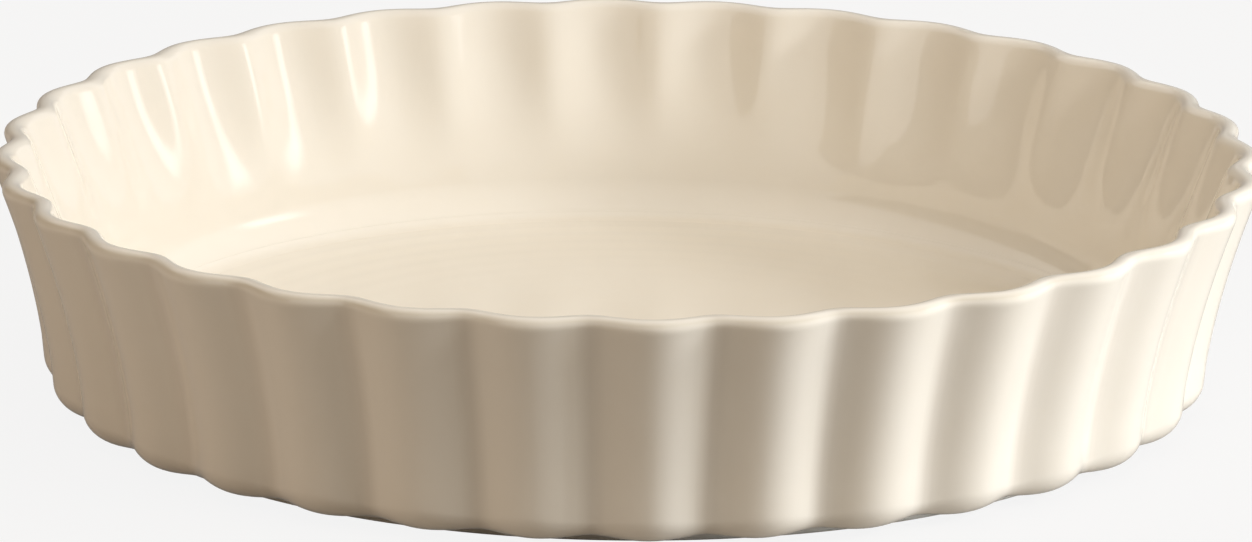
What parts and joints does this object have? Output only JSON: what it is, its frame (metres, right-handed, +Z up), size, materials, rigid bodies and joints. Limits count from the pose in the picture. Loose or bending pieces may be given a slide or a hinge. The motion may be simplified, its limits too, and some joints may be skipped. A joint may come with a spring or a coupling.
{
  "type": "fluted quiche dish",
  "caption": "Deep round glazed stoneware baking dish with a fluted, flaring wall, a rounded wavy rim, a flat floor and a plain foot ring.",
  "frame": {"origin": "centre of the dish on the plane that the foot ring stands on", "axes": "+Z up along the dish's axis, with the crest of one flute facing -Y"},
  "size_m": [0.2804, 0.2804, 0.0545],
  "materials": {
    "glazed_stoneware": "glossy ivory glaze over stoneware",
    "pooled_glaze": "glossy ivory glaze, pooled over the floor",
    "base_glaze": "thin glossy ivory glaze film"
  },
  "bodies": {
    "root": {"fluted_body": "glazed_stoneware", "floor_glaze": "pooled_glaze", "underside_glaze": "base_glaze"}
  },
  "joints": []
}
